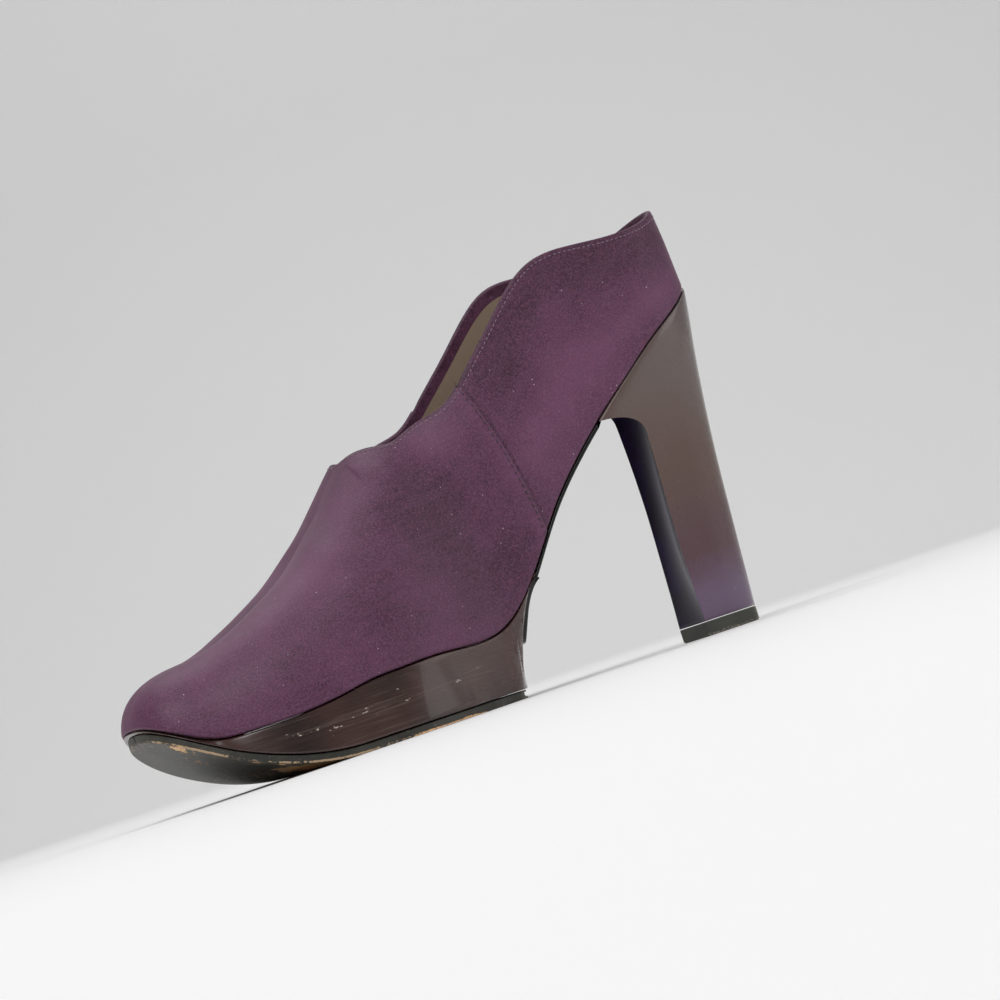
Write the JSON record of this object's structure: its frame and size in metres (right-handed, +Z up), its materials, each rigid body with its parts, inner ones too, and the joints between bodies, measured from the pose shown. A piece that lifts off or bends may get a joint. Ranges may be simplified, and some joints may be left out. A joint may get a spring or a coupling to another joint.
{
  "type": "platform court shoe",
  "caption": "Woman's closed platform court shoe with a satin upper, a high flared heel and a leather outsole under a glossy wedge platform.",
  "frame": {"origin": "centre of the bounding box's base, on the floor under the shoe", "axes": "+X from the heel to the toe, +Y to the wearer's left, which is this shoe's inner side, +Z up from the floor"},
  "size_m": [0.225, 0.0832, 0.1384],
  "materials": {
    "upper": "aubergine satin with a fine speckle",
    "insole": "plain pale lining leather",
    "platform_cover": "glossy brown plum with fine scratches",
    "outsole": "dark finished sole leather, worn through to tan at the ball",
    "waist_cover": "near black patent gloss",
    "heel": "high gloss plum, violet in its hollow front",
    "top_piece": "dark grey rubber, scuffed at its back"
  },
  "bodies": {
    "root": {"upper": "upper", "insole": "insole", "platform_cover": "platform_cover", "outsole": "outsole", "waist_cover": "waist_cover", "heel": "heel", "top_piece": "top_piece"}
  },
  "joints": []
}
